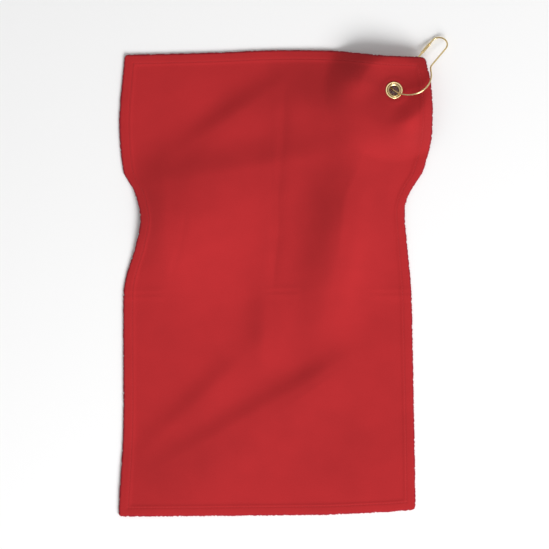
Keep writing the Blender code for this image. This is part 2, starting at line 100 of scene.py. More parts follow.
# How the towel lies; the same curves and folds as the solid it replaces. Along an edge, each
# pair is the share of the way and the millimetres by which the edge stands to the right or up
LAID_LENGTH_RATIO = 0.960
LEFT_EDGE = ((0.0, -2.0), (0.19, 2.5), (0.46, 2.6), (0.51, 4.5), (0.594, 15.0), (0.648, 18.8),
             (0.703, 13.1), (0.746, 2.6), (0.855, -1.2), (1.0, 3.6))
RIGHT_EDGE = ((0.0, 0.8), (0.19, -0.4), (0.46, -2.6), (0.51, -4.0), (0.594, -7.4), (0.667, -9.3),
              (0.706, -3.4), (0.746, 7.6), (0.811, 15.3), (0.88, 16.8), (0.943, 15.0), (1.0, 10.0))
PLAIN_EDGE = ((0.0, 0.0), (0.7, 1.6), (0.9, 4.2), (1.0, 6.2))
GROMMET_EDGE = ((0.0, -0.4), (0.3, 1.5), (0.5, 3.8), (0.7, 3.2), (0.84, -1.2), (1.0, -3.0))

# Folds: centre x and y from the towel's middle, heading of the ridge in degrees, half length,
# half width to the left and to the right of the ridge, and height, in millimetres
FOLDS = (
    ("left_fold", -94, 56, 92, 62, 28, 85, 16),
    ("arch", -14, 110, 10, 80, 22, 55, 9),
    ("right_spine", 70, 55, 79, 92, 26, 42, 14),
    ("right_rise", 64, 60, 82, 85, 58, 50, 7),
    ("grommet_ridge", 78, 170, 4, 74, 40, 48, 17),
    ("upper_diagonal", -36, 156, 34, 52, 16, 36, 8),
)
# Shallow tucks of the cloth itself, listed in the same way
TUCKS = (
    ("pocket", -4, -38, 88, 34, 14, 24, 3.5),
    ("lower_first", -68, -114, 43, 66, 14, 24, 4),
    ("lower_second", -22, -128, 30, 96, 14, 40, 4.5),
    ("lower_right", 44, -92, 36, 36, 14, 34, 3),
)
# Painted shade and painted light on the pile, listed in the same way, with the share by which
# the colour is painted darker in place of the height; a negative share paints it lighter
PAINTED_SHADE_PATCHES = (
    ("round_grommet", 112, 192, -4, 52, 40, 24, 0.18),
    ("grommet_side", 135, 166, 50, 16, 13, 16, -0.20),
    ("below_grommet", 124, 140, 0, 34, 14, 16, 0.09),
    ("top_edge", 68, 200, 0, 18, 16, 20, -0.15),
    ("upper_left", -84, 172, 20, 70, 44, 44, -0.045),
    ("upper_fold", -46, 161, 36, 42, 12, 9, -0.09),
    ("beside_crease", 5, 96, 91, 92, 2, 46, 0.06),
    ("left_middle", -44, 10, 88, 120, 60, 46, -0.05),
    ("left_side", -112, 40, 92, 60, 16, 14, -0.04),
    ("along_spine", 70, 66, 79, 66, 12, 3, 0.05),
    ("right_band", 84, 22, 80, 60, 9, 9, -0.05),
    ("right_edge", 112, 100, 78, 40, 10, 10, 0.04),
    ("lower_fold", 42, -97, 34, 30, 11, 2, 0.08),
    ("corner_side", 148, 150, 80, 26, 8, 12, 0.16),
    ("lower_left", -80, -172, 30, 72, 36, 26, 0.15),
    ("lower_right", 70, -150, 0, 66, 44, 50, 0.08),
    ("right_half", 56, 70, 84, 90, 30, 60, 0.03),
    ("pocket_side", -6, -42, 86, 36, 12, 3, 0.05),
)
FOLD_SETTLE = 1.0 * MM
FOLD_SOFTNESS = 3.0 * MM
RIPPLE_HEIGHT = 0.12 * MM
RIPPLE_SPACING = 34.0 * MM

# Creases left by the towel's packing: start and end on the flat towel as shares of its width
# and length, half width in millimetres, and the slope of its sides; a valley's sides slope up
CREASES = (
    ("middle_fold", 0.520, 0.45, 0.525, 0.95, 12, 0.15),
    ("right_fold", 0.74, 0.52, 0.80, 0.86, 10, -0.07),
    ("left_fold", 0.16, 0.50, 0.17, 0.68, 8, 0.07),
    ("half_fold_left", -0.03, 0.480, 0.16, 0.482, 4, 0.20),
    ("half_fold_middle", 0.49, 0.481, 0.62, 0.481, 4, 0.22),
    ("half_fold_right", 0.84, 0.482, 1.03, 0.480, 4, 0.20),
)
CREASE_FADE = 0.2

# The corner round the grommet; it dips where the hook swings over it, but not behind the hook.
# DISH_BEHIND and DISH_ABREAST are cosines of the angle from the hook's heading
GROMMET_FROM_RIGHT = 34.3 * MM
GROMMET_FROM_TOP = 35.2 * MM
CORNER_FLAT_RADIUS = 30.0 * MM
CORNER_BLEND_RADIUS = 68.0 * MM
CORNER_DISH = 6.2 * MM
DISH_START = 12.0 * MM
DISH_END = 33.0 * MM
DISH_BEHIND = -0.95
DISH_ABREAST = -0.35

# Grommet: radii, and heights over the middle of the cloth
EYELET_HOLE_RADIUS = 4.25 * MM
EYELET_FLANGE_RADIUS = 8.2 * MM
EYELET_WALL = 0.75 * MM
FLANGE_UNDER = 0.9 * MM
FLANGE_TOP = 1.7 * MM
WASHER_RADIUS = 8.0 * MM
WASHER_UNDER = 1.4 * MM
LIP_TOP = 1.7 * MM
LIP_UNDER = 2.1 * MM
LIP_REACH = 1.4 * MM
MOUTH_WIDENING = 1.9 * MM
# Turned groove in the flange's face, in millimetres: distance out from the mouth's crown, and
# depth
FLANGE_GROOVE = ((0.06, 0.02), (0.12, 0.12), (0.18, 0.34), (0.28, 0.42), (0.40, 0.38),
                 (0.50, 0.18), (0.62, 0.05), (0.80, 0.01), (1.20, 0.0))
GROOVE_MIDDLE = 0.30 * MM
GRIME_WIDTH = 0.26 * MM
# Painted shade down in the hole: its darkness, its reach round the hole and its depth below the face
HOLE_PAINTED_SHADE = 0.9
HOLE_SHADE_MARGIN = 0.5 * MM
HOLE_SHADE_BELOW_FACE = 0.4 * MM
MOUTH_SPARE = 0.02 * MM
EYELET_CHAMFER = 0.15 * MM
LIP_STEP = 0.2 * MM
# Washer's rim: distance in from it in millimetres, and share of the way down the washer
WASHER_EDGE = ((0.15, 0.0), (0.0, 0.24), (0.05, 0.64), (0.35, 1.0))
WASHER_CLEARANCE = 0.5 * MM

# Cloth at the grommet
HOLE_CLEARANCE = 0.4 * MM
CLOTH_PINCHED = 1.2 * MM
PINCH_MARGIN = 0.4 * MM
PINCH_STEP = 1.5 * MM
PUFF_HEIGHT = 0.3 * MM
PUFF_DISTANCE = 2.6 * MM
PUFF_WIDTH = 1.6 * MM

# Hook
WIRE_RADIUS = 0.8 * MM
# Round end of a wire, in its radii: how far out its smaller rings stand, less the set-back
END_REACHES = (0.75, 0.4, 0.15)
END_SETBACK = 0.2
LOOP_LENGTH = 40.6 * MM
LOOP_RIGHT_REACH = 25.1 * MM
LOOP_LEFT_REACH = 15.2 * MM
LOOP_OFFSET = 1.6 * MM
NECK_START = 38.9 * MM
NECK_LENGTH = 23.0 * MM
NECK_MIDDLE = 5.45 * MM
NECK_HALF_WIDTH = 8.5 * MM
NOSE_LENGTH = 7.4 * MM
SHOULDER_ROUNDING = 2.2 * MM
GATE_PIVOT_ANGLE = math.radians(38.0)
LEFT_LOOP_START = math.radians(4.0)
LEFT_LOOP_END = math.radians(148.0)
RIGHT_LOOP_LEAD = math.radians(1.0)
RIGHT_LOOP_END = math.radians(136.0)
CATCH_START = 57.1 * MM
CATCH_LENGTH = 11.0 * MM
CATCH_RADIUS = 1.42 * MM
CATCH_WALL = 0.42 * MM
WIRE_IN_CATCH = 0.2 * MM
CATCH_OVERLAP = 3.4 * MM
CATCH_CLOSING_LEAD = 1.2 * MM
CATCH_CLOSING_LENGTH = 4.0 * MM
CATCH_LIP_LENGTH = 1.8 * MM
CATCH_LIP_FLARE = 0.22 * MM
# How far the catch wraps round the wire to each side: at its lip, along it, and closed
LIP_WRAP = math.radians(100.0)
CATCH_WRAP = math.radians(124.0)
CLOSED_WRAP = math.radians(172.0)
GATE_TIP = 55.6 * MM

# Stage: the camera looks straight down on VIEW_CENTRE
FLOOR_REACH = 6.0
VIEW_CENTRE = Vector((-0.0082, 0.0022, 0.0))
VIEW_WIDTH = 520.5 * MM
CAMERA_HEIGHT = 6.0
KEY_DIRECTION = Vector((0.5, -0.85, 0.85)).normalized()
KEY_DISTANCE = 3.0
KEY_SIZE = 2.0
# The ceiling light is where the grommet's face mirrors it upwards; its brightness fades from
# its full angle to its rim angle
CEILING_LIGHT_DIRECTION = Vector((0.26, 0.31, 0.91)).normalized()
CEILING_LIGHT_FULL = math.radians(9.0)
CEILING_LIGHT_RIM = math.radians(17.0)
SENSOR_WIDTH_MM = 36.0


# ---------------------------------------------------------------- frames taken from the model

def joint_named(name):
    return next(joint for joint in frame["joints"] if joint["name"] == name)


def frame_matrix(place, x_axis, z_axis):
    y_axis = z_axis.cross(x_axis)
    rotation = Matrix((x_axis, y_axis, z_axis)).transposed()
    return Matrix.Translation(place) @ rotation.to_4x4()


SWING = joint_named("hook_swing")
FLEX = joint_named("gate_flex")
GROMMET_CENTRE = Vector(SWING["pos_m"])
GROMMET_NORMAL = Vector(SWING["axis"]).normalized()
HOOK_NORMAL = -Vector(FLEX["axis"]).normalized()
HOOK_HEADING = HOOK_NORMAL.cross(GROMMET_NORMAL).normalized()
GROMMET_FRAME = frame_matrix(GROMMET_CENTRE, HOOK_HEADING, GROMMET_NORMAL)
HOOK_FRAME = frame_matrix(GROMMET_CENTRE, HOOK_HEADING, HOOK_NORMAL)


# ---------------------------------------------------------------- settings

def colour_setting(name, description, default):
    return bpy.props.FloatVectorProperty(name=name, description=description, subtype="COLOR",
                                         size=3, min=0.0, max=1.0, default=default)


def length_setting(name, description, low, high, default):
    return bpy.props.FloatProperty(name=name, description=description, unit="LENGTH",
                                   min=low, max=high, default=default)


class TowelSettings(bpy.types.PropertyGroup):
    """Sizes and colours of the cloth and its sewing."""

    cloth_colour: colour_setting("Cloth colour", "Colour of the velour's pile",
                                 (0.427, 0.0207, 0.0238))
    # The edge colour is partly painted shade along the rolled rim
    edge_colour: colour_setting("Edge colour", "Darker colour of the turned edge",
                                (0.30, 0.012, 0.024))
    thread_colour: colour_setting("Thread colour", "Colour of the sewing thread",
                                  (0.44, 0.024, 0.027))
    cell_size: length_setting("Cell size", "Spacing of the cloth's mesh",
                              1.0 * MM, 10.0 * MM, 1.9 * MM)
    stitch_length: length_setting("Stitch length", "Length of one lock stitch",
                                  1.0 * MM, 10.0 * MM, 2.9 * MM)
    stitch_dent: length_setting("Stitch dent", "How deep the stitches sink into the hem",
                                0.0, 1.0 * MM, 0.35 * MM)
    thread_radius: length_setting("Thread radius", "Radius of the sewing thread",
                                  0.1 * MM, 1.0 * MM, 0.27 * MM)


class MetalSettings(bpy.types.PropertyGroup):
    """Colours and fineness of the grommet and the hook."""

    grommet_colour: colour_setting("Grommet colour", "Colour of the rolled brass",
                                   (0.88, 0.66, 0.34))
    hook_colour: colour_setting("Hook colour", "Colour of the bright plated wire",
                                (0.90, 0.70, 0.36))
    # The tarnish colour is also mixed in as painted shade down in the grommet's hole
    tarnish_colour: colour_setting("Tarnish colour", "Colour of dulled brass in the grooves",
                                   (0.16, 0.10, 0.03))
    turned_steps: bpy.props.IntProperty(
        name="Turned steps", description="Steps round the grommet", min=24, max=256, default=96)
    wire_sides: bpy.props.IntProperty(
        name="Wire sides", description="Sides round the wire", min=8, max=48, default=20)


class StageSettings(bpy.types.PropertyGroup):
    """Floor and light."""

    floor_colour: colour_setting("Floor colour", "Colour of the plain floor", (0.93, 0.93, 0.93))
    key_power: bpy.props.FloatProperty(
        name="Key power", description="Power of the main soft light", unit="POWER",
        min=0.0, max=1000.0, default=94.5)
    overhead_level: bpy.props.FloatProperty(
        name="Overhead level", description="Brightness of the soft ceiling light", min=0.0,
        max=10.0, default=1.25)
    wall_level: bpy.props.FloatProperty(
        name="Wall level", description="Brightness of the room round it", min=0.0, max=5.0,
        default=0.40)


# ---------------------------------------------------------------- small helpers

def smoothstep(value):
    share = np.clip(value, 0.0, 1.0)
    return share * share * (3.0 - 2.0 * share)


def through_points(points, share):
    """Smooth curve through (share, value) points."""
    shares, values = np.array(points).T
    index = np.clip(np.searchsorted(shares, share) - 1, 0, len(shares) - 2)
    before = values[np.maximum(index - 1, 0)]
    start = values[index]
    end = values[index + 1]
    after = values[np.minimum(index + 2, len(values) - 1)]
    t = (share - shares[index]) / (shares[index + 1] - shares[index])
    bend = 2 * before - 5 * start + 4 * end - after
    twist = 3 * (start - end) + after - before
    return start + 0.5 * t * (end - before + t * (bend + t * twist))


def unevenness(x, y, seed, spacing):
    """Soft repeatable unevenness between -1.5 and 1.5, about one bump each spacing.

    It adds six waves of different pitch, each heading a golden angle on from the last.
    """
    total = np.zeros_like(x)
    for index in range(6):
        angle = seed * 1.7 + index * GOLDEN_ANGLE
        pitch = 2 * math.pi / spacing * (0.62 + 0.15 * index)
        phase = seed * 3.1 + index * 1.3
        total += np.sin((x * math.cos(angle) + y * math.sin(angle)) * pitch + phase)
    return total / 4


def mesh_from(name, shape):
    mesh = bpy.data.meshes.new(name)
    shape.to_mesh(mesh)
    shape.free()
    return mesh


def finish_piece(name, mesh, material, replaced):
    """Link a finished mesh and give it its finish."""
    piece = bpy.data.objects.new(name, mesh)
    bpy.context.scene.collection.objects.link(piece)
    mesh.materials.append(material)
    mesh.shade_smooth()
    if replaced:
        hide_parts(*replaced)
    return piece


def vertex_values(verts, attribute, width):
    values = np.empty(len(verts) * width)
    verts.foreach_get(attribute, values)
    return values.reshape(-1, width)


# ---------------------------------------------------------------- materials

def new_group(name, inputs, outputs):
    """An empty shader node group with named sockets, and its two end nodes."""
    group = bpy.data.node_groups.new(name, "ShaderNodeTree")
    for socket_name, kind, default in inputs:
        socket = group.interface.new_socket(socket_name, in_out="INPUT", socket_type=kind)
        if default is not None:
            socket.default_value = default
    for socket_name, kind in outputs:
        group.interface.new_socket(socket_name, in_out="OUTPUT", socket_type=kind)
    return group, group.nodes.new("NodeGroupInput"), group.nodes.new("NodeGroupOutput")


def link(tree, source, source_socket, target, target_socket):
    tree.links.new(source.outputs[source_socket], target.inputs[target_socket])


def math_node(tree, operation, first, second):
    """A math node; each of first and second is a number or a (node, socket) pair."""
    node = tree.nodes.new("ShaderNodeMath")
    node.operation = operation
    for index, value in enumerate((first, second)):
        if isinstance(value, tuple):
            tree.links.new(value[0].outputs[value[1]], node.inputs[index])
        else:
            node.inputs[index].default_value = value
    return node


def range_node(tree, source, low, high, to_low, to_high):
    """A smooth step from to_low to to_high, while the source goes from low to high."""
    node = tree.nodes.new("ShaderNodeMapRange")
    node.interpolation_type = "SMOOTHSTEP"
    tree.links.new(source[0].outputs[source[1]], node.inputs["Value"])
    for name, value in (("From Min", low), ("From Max", high), ("To Min", to_low), ("To Max", to_high)):
        node.inputs[name].default_value = value
    return node


def mix_colours(tree, factor, first, second):
    """The output of a mix of two constant colours by a (node, socket) factor."""
    node = tree.nodes.new("ShaderNodeMix")
    node.data_type = "RGBA"
    sockets = {socket.identifier: socket for socket in node.inputs}
    tree.links.new(factor[0].outputs[factor[1]], sockets["Factor_Float"])
    sockets["A_Color"].default_value = (*first, 1.0)
    sockets["B_Color"].default_value = (*second, 1.0)
    return next(socket for socket in node.outputs if socket.identifier == "Result_Color")


def tone_group():
    """Cloudy tone: soft large patches with fine grain over them."""
    found = bpy.data.node_groups.get("cloudy_tone")
    if found:
        return found
    inputs = (("Vector", "NodeSocketVector", None), ("Patch Scale", "NodeSocketFloat", 0.03),
              ("Grain Scale", "NodeSocketFloat", 1.0), ("Patch", "NodeSocketFloat", 0.1),
              ("Grain", "NodeSocketFloat", 0.1))
    group, start, end = new_group("cloudy_tone", inputs, (("Tone", "NodeSocketFloat"),
                                                          ("Grain", "NodeSocketFloat")))
    parts = []
    for scale, detail in (("Patch Scale", 3.0), ("Grain Scale", 4.0)):
        noise = group.nodes.new("ShaderNodeTexNoise")
        noise.inputs["Detail"].default_value = detail
        link(group, start, "Vector", noise, "Vector")
        link(group, start, scale, noise, "Scale")
        parts.append(noise)
    total = None
    for noise, amount in zip(parts, ("Patch", "Grain")):
        centred = math_node(group, "SUBTRACT", (noise, "Fac"), 0.5)
        scaled = math_node(group, "MULTIPLY", (centred, 0), (start, amount))
        total = scaled if total is None else math_node(group, "ADD", (total, 0), (scaled, 0))
    tone = math_node(group, "ADD", (total, 0), 1.0)
    link(group, tone, 0, end, "Tone")
    link(group, parts[1], "Fac", end, "Grain")
    return group


def handling_group():
    """Fine rub marks left by handling: a mask that is high along thin scratches."""
    found = bpy.data.node_groups.get("handling_marks")
    if found:
        return found
    inputs = (("Vector", "NodeSocketVector", None), ("Scale", "NodeSocketFloat", 300.0))
    group, start, end = new_group("handling_marks", inputs, (("Marks", "NodeSocketFloat"),))
    noise = group.nodes.new("ShaderNodeTexNoise")
    noise.inputs["Detail"].default_value = 6.0
    noise.inputs["Roughness"].default_value = 0.65
    noise.inputs["Distortion"].default_value = 0.8
    link(group, start, "Vector", noise, "Vector")
    link(group, start, "Scale", noise, "Scale")
    marks = range_node(group, (noise, "Fac"), 0.46, 0.66, 0.0, 1.0)
    link(group, marks, "Result", end, "Marks")
    return group


def new_material(name):
    material = bpy.data.materials.new(name)
    material.use_nodes = True
    tree = material.node_tree
    return material, tree, tree.nodes["Principled BSDF"]


def placed_group(tree, group, values):
    node = tree.nodes.new("ShaderNodeGroup")
    node.node_tree = group
    for name, value in values.items():
        node.inputs[name].default_value = value
    return node


def attribute_node(tree, name):
    node = tree.nodes.new("ShaderNodeAttribute")
    node.attribute_name = name
    return node


def add_bump(tree, shader, height, strength, distance):
    """Bump from a (node, socket) pair into the shader's normal."""
    bump = tree.nodes.new("ShaderNodeBump")
    bump.inputs["Strength"].default_value = strength
    bump.inputs["Distance"].default_value = distance
    link(tree, *height, bump, "Height")
    link(tree, bump, "Normal", shader, "Normal")


def flat_millimetres(tree):
    """Place on the flat towel, in millimetres, from the cloth's own map."""
    uv = tree.nodes.new("ShaderNodeUVMap")
    uv.uv_map = "flat_towel"
    mapping = tree.nodes.new("ShaderNodeMapping")
    mapping.inputs["Scale"].default_value = (TOWEL_WIDTH / MM, TOWEL_LENGTH / MM, 1.0)
    link(tree, uv, "UV", mapping, "Vector")
    return mapping


def velour_material(settings):
    material, tree, shader = new_material("towel_velour")
    place = flat_millimetres(tree)
    tone = placed_group(tree, tone_group(), {"Patch Scale": 0.035, "Grain Scale": 1.1,
                                             "Patch": 0.16, "Grain": 0.30})
    link(tree, place, "Vector", tone, "Vector")
    # Darker rim: partly the turned edge's own colour, partly painted shade of the roll
    edge = attribute_node(tree, "edge_inset")
    rim_colour_and_shade = range_node(tree, (edge, "Fac"), 0.4 * MM, 2.2 * MM, 1.0, 0.0)
    coloured = mix_colours(tree, (rim_colour_and_shade, "Result"), settings.cloth_colour,
                           settings.edge_colour)
    # Painted shade and painted light: the patches' share is taken off the cloth's tone
    painted_share = attribute_node(tree, "painted_shade_light")
    painted_tone = math_node(tree, "SUBTRACT", (tone, "Tone"), (painted_share, "Fac"))
    toned = tree.nodes.new("ShaderNodeHueSaturation")
    tree.links.new(coloured, toned.inputs["Color"])
    link(tree, painted_tone, 0, toned, "Value")
    link(tree, toned, "Color", shader, "Base Color")
    shader.inputs["Roughness"].default_value = 0.95
    shader.inputs["Specular IOR Level"].default_value = 0.15
    shader.inputs["Sheen Weight"].default_value = 0.12
    shader.inputs["Sheen Roughness"].default_value = 0.5
    shader.inputs["Sheen Tint"].default_value = (1.0, 0.45, 0.45, 1.0)
    add_bump(tree, shader, (tone, "Grain"), 0.35, 0.25 * MM)
    return material


def thread_material(settings):
    material, tree, shader = new_material("sewing_thread")
    place = tree.nodes.new("ShaderNodeTexCoord")
    tone = placed_group(tree, tone_group(), {"Patch Scale": 60.0, "Grain Scale": 2600.0,
                                             "Patch": 0.2, "Grain": 0.5})
    link(tree, place, "Object", tone, "Vector")
    coloured = tree.nodes.new("ShaderNodeHueSaturation")
    coloured.inputs["Color"].default_value = (*settings.thread_colour, 1.0)
    link(tree, tone, "Tone", coloured, "Value")
    link(tree, coloured, "Color", shader, "Base Color")
    shader.inputs["Roughness"].default_value = 0.75
    shader.inputs["Specular IOR Level"].default_value = 0.3
    add_bump(tree, shader, (tone, "Grain"), 0.6, 0.05 * MM)
    return material


def brass_material(name, colour, tarnish, roughness, tarnish_share):
    """Bright brass, dulled in its marks and, by tarnish_share, in patches."""
    material, tree, shader = new_material(name)
    place = tree.nodes.new("ShaderNodeTexCoord")
    marks = placed_group(tree, handling_group(), {"Scale": 420.0})
    link(tree, place, "Object", marks, "Vector")
    tone = placed_group(tree, tone_group(), {"Patch Scale": 180.0, "Grain Scale": 1500.0,
                                             "Patch": 1.1, "Grain": 0.2})
    link(tree, place, "Object", tone, "Vector")
    dulled = range_node(tree, (tone, "Tone"), 1.02, 1.4, 0.0, tarnish_share)
    # Tarnish in the flange's groove, and painted shade down in the grommet's hole
    groove_tarnish_hole_shade = attribute_node(tree, "groove_tarnish_hole_shade")
    dark = math_node(tree, "MAXIMUM", (dulled, "Result"), (groove_tarnish_hole_shade, "Fac"))
    coloured = mix_colours(tree, (dark, 0), colour, tarnish)
    tree.links.new(coloured, shader.inputs["Base Color"])
    shader.inputs["Metallic"].default_value = 1.0
    rough = range_node(tree, (marks, "Marks"), 0.0, 1.0, roughness, roughness + 0.16)
    link(tree, rough, "Result", shader, "Roughness")
    add_bump(tree, shader, (marks, "Marks"), 0.12, 0.02 * MM)
    return material


# ---------------------------------------------------------------- shape of the laid towel

def laid_place(across, along):
    """Where a point of the flat towel lies, seen from above, from the towel's middle."""
    share_x = across / TOWEL_WIDTH
    share_y = along / TOWEL_LENGTH
    left = -TOWEL_WIDTH / 2 + through_points(LEFT_EDGE, share_y) * MM
    right = TOWEL_WIDTH / 2 + through_points(RIGHT_EDGE, share_y) * MM
    laid_length = TOWEL_LENGTH * LAID_LENGTH_RATIO
    bottom = -laid_length / 2 + through_points(PLAIN_EDGE, share_x) * MM
    top = laid_length / 2 + through_points(GROMMET_EDGE, share_x) * MM
    return left + (right - left) * share_x, bottom + (top - bottom) * share_y


def laid_shift():
    """From the towel's middle to the model's origin."""
    across = np.array([TOWEL_WIDTH - GROMMET_FROM_RIGHT])
    along = np.array([TOWEL_LENGTH - GROMMET_FROM_TOP])
    x, y = laid_place(across, along)
    return GROMMET_CENTRE.x - x[0], GROMMET_CENTRE.y - y[0]


SHIFT_X, SHIFT_Y = laid_shift()


def ridge_heights(x, y, ridges):
    """Sum of the ridges' heights, in millimetres; each ridge can be steeper on one side."""
    total = np.zeros_like(x)
    for _name, centre_x, centre_y, heading, half_length, left_width, right_width, height in ridges:
        angle = math.radians(heading)
        offset_x = x - centre_x * MM
        offset_y = y - centre_y * MM
        forward = offset_x * math.cos(angle) + offset_y * math.sin(angle)
        sideways = offset_y * math.cos(angle) - offset_x * math.sin(angle)
        half_width = np.where(sideways > 0.0, left_width, right_width) * MM
        falloff = (forward / (half_length * MM)) ** 2 + (sideways / half_width) ** 2
        total += height * np.exp(-falloff)
    return total


def fold_heights(x, y):
    """Height of the folds, settled so that the cloth between them lies flat."""
    raised = np.maximum(ridge_heights(x, y, FOLDS) * MM - FOLD_SETTLE, 0.0)
    return raised * raised / (raised + FOLD_SOFTNESS)


def crease_heights(across, along):
    total = np.zeros_like(across)
    for _name, start_x, start_y, end_x, end_y, half_width, slope in CREASES:
        start = np.array((start_x * TOWEL_WIDTH, start_y * TOWEL_LENGTH))
        end = np.array((end_x * TOWEL_WIDTH, end_y * TOWEL_LENGTH))
        length = np.linalg.norm(end - start)
        direction = (end - start) / length
        forward = (across - start[0]) * direction[0] + (along - start[1]) * direction[1]
        sideways = (along - start[1]) * direction[0] - (across - start[0]) * direction[1]
        fade = length * CREASE_FADE
        ends = smoothstep(forward / fade) * smoothstep((length - forward) / fade)
        width = half_width * MM
        total += slope * np.abs(sideways) * np.exp(-(sideways / width) ** 2) * ends
    return total


def underside(x, y):
    """Height of the towel's underside, and the share by which the grommet's plane sets it."""
    away_x = x + SHIFT_X - GROMMET_CENTRE.x
    away_y = y + SHIFT_Y - GROMMET_CENTRE.y
    reach = np.hypot(away_x, away_y)
    normal = GROMMET_NORMAL
    facing = away_x * HOOK_HEADING.x + away_y * HOOK_HEADING.y
    facing = facing / (np.maximum(reach, MM) * math.hypot(HOOK_HEADING.x, HOOK_HEADING.y))
    dish = CORNER_DISH * smoothstep((reach - DISH_START) / (DISH_END - DISH_START))
    dish = dish * smoothstep((facing - DISH_BEHIND) / (DISH_ABREAST - DISH_BEHIND))
    plane = GROMMET_CENTRE.z - (normal.x * away_x + normal.y * away_y) / normal.z
    plane += (dish - CLOTH_THICKNESS / 2) / normal.z
    share = smoothstep((CORNER_BLEND_RADIUS - reach) / (CORNER_BLEND_RADIUS - CORNER_FLAT_RADIUS))
    return fold_heights(x, y) * (1.0 - share) + plane * share, share


def edge_insets(across, along):
    """Distances from the nearest side, the nearest end, and the nearer of the two."""
    sides = np.minimum(across, TOWEL_WIDTH - across)
    ends = np.minimum(along, TOWEL_LENGTH - along)
    return sides, ends, np.minimum(sides, ends)


def stitch_groove(across, along, settings):
    """Share of the full dent: a groove along the stitch line, deepest at the needle holes."""
    sides, ends, inset = edge_insets(across, along)
    groove = np.zeros_like(across)
    for distance, run in ((sides, along), (ends, across)):
        line = np.exp(-((distance - STITCH_INSET) / SEAM_GROOVE_WIDTH) ** 2)
        start = (run - STITCH_INSET) / settings.stitch_length
        depth = 1.0 - NEEDLE_HOLE_SHARE * (1.0 - np.cos(2 * math.pi * start))
        groove = np.maximum(groove, line * depth)
    return groove * smoothstep((inset - STITCH_INSET + ROW_OVERRUN) / ROW_FADE)


def cloth_layers(across, along, settings):
    """Heights of the bottom and top of the cloth over its resting underside."""
    _sides, _ends, inset = edge_insets(across, along)
    hem = 1.0 - smoothstep((inset - HEM_FLAP) / HEM_STEP + 0.5)
    full = CLOTH_THICKNESS + (HEM_THICKNESS - CLOTH_THICKNESS) * hem
    roll_share = np.minimum(inset / HEM_ROLL, 1.0)
    roll = np.sqrt(np.clip(1.0 - (1.0 - roll_share) ** 2, ROLL_LEAST, 1.0))
    groove = stitch_groove(across, along, settings)
    dent = groove * settings.stitch_dent
    plump = HEM_PLUMPNESS * hem * smoothstep(inset / HEM_STEP) * (1.0 - groove)
    plump *= 1.0 + PLUMP_VARIATION * unevenness(across, along, 4, PLUMP_SPACING)
    return full / 2 * (1.0 - roll) + dent, full / 2 * (1.0 + roll) - dent + plump


def laid_points(across, along, top, settings):
    """Final places of cloth points; top is true on the face and false on the back."""
    sides, ends, inset = edge_insets(across, along)
    corner_x = np.maximum(CORNER_ROUNDING - sides, 0.0)
    corner_y = np.maximum(CORNER_ROUNDING - ends, 0.0)
    pull = np.maximum(np.hypot(corner_x, corner_y) - CORNER_ROUNDING, 0.0) * CORNER_PULL
    to_middle_x = np.sign(TOWEL_WIDTH / 2 - across)
    to_middle_y = np.sign(TOWEL_LENGTH / 2 - along)
    x, y = laid_place(across + pull * to_middle_x, along + pull * to_middle_y)
    scallop = np.exp(-(inset / SCALLOP_REACH) ** 2)
    scallop *= sum(depth * unevenness(across, along, seed, spacing)
                   for depth, seed, spacing in SCALLOPS)
    x = x + to_middle_x * np.abs(scallop) * (sides <= ends)
    y = y + to_middle_y * np.abs(scallop) * (ends < sides)
    height, corner = underside(x, y)
    lines = crease_heights(across, along) + ridge_heights(x, y, TUCKS) * MM
    lines += RIPPLE_HEIGHT * unevenness(x, y, 7, RIPPLE_SPACING)
    height = np.maximum(height + lines * (1.0 - corner), 0.0)
    bottom_layer, top_layer = cloth_layers(across, along, settings)
    layer = np.where(top, top_layer, bottom_layer)
    return np.stack((x + SHIFT_X, y + SHIFT_Y, height + layer), axis=1)


def grid_lines(size, spacing):
    """Grid line distances, close together over the hems."""
    hem = [line * MM for line in HEM_LINES]
    cells = round((size - 2 * hem[-1]) / spacing)
    inner = np.linspace(hem[-1], size - hem[-1], cells + 1)[1:-1]
    return hem + list(inner) + [size - line for line in reversed(hem)]


def flat_cloth(spacing):
    """The flat towel as a grid, with its own distances as coordinates."""
    columns = grid_lines(TOWEL_WIDTH, spacing)
    rows = grid_lines(TOWEL_LENGTH, spacing)
    shape = bmesh.new()
    bmesh.ops.create_grid(shape, x_segments=len(columns) - 1, y_segments=len(rows) - 1, size=0.5)
    for vert in shape.verts:
        column = round((vert.co.x + 0.5) * (len(columns) - 1))
        row = round((vert.co.y + 0.5) * (len(rows) - 1))
        vert.co = (columns[column], rows[row], 0.0)
    return shape


def split_rim(shape):
    """Halve the cells along the rim, where the pile scallops the edge."""
    rim = []
    for edge in shape.edges:
        first, second = (vert.co for vert in edge.verts)
        run = second - first
        side = all(min(p.x, TOWEL_WIDTH - p.x) < RIM_WIDTH for p in (first, second))
        end = all(min(p.y, TOWEL_LENGTH - p.y) < RIM_WIDTH for p in (first, second))
        if run.length > MM and (side and abs(run.y) > abs(run.x) or end and abs(run.x) > abs(run.y)):
            rim.append(edge)
    bmesh.ops.subdivide_edges(shape, edges=rim, cuts=1, use_grid_fill=True)


def open_grommet_hole(shape):
    """Open the flat cloth for the eyelet's barrel, with a round rim."""
    centre = Vector((TOWEL_WIDTH - GROMMET_FROM_RIGHT, TOWEL_LENGTH - GROMMET_FROM_TOP, 0.0))
    hole = EYELET_HOLE_RADIUS + EYELET_WALL + HOLE_CLEARANCE
    inside = [vert for vert in shape.verts if (vert.co - centre).length < hole]
    bmesh.ops.delete(shape, geom=inside, context="VERTS")
    near = [edge for edge in shape.edges if edge.is_boundary
            and (edge.verts[0].co - centre).length < 3 * hole]
    rim = {vert for edge in near for vert in edge.verts}
    for vert in rim:
        vert.co = centre + (vert.co - centre).normalized() * hole


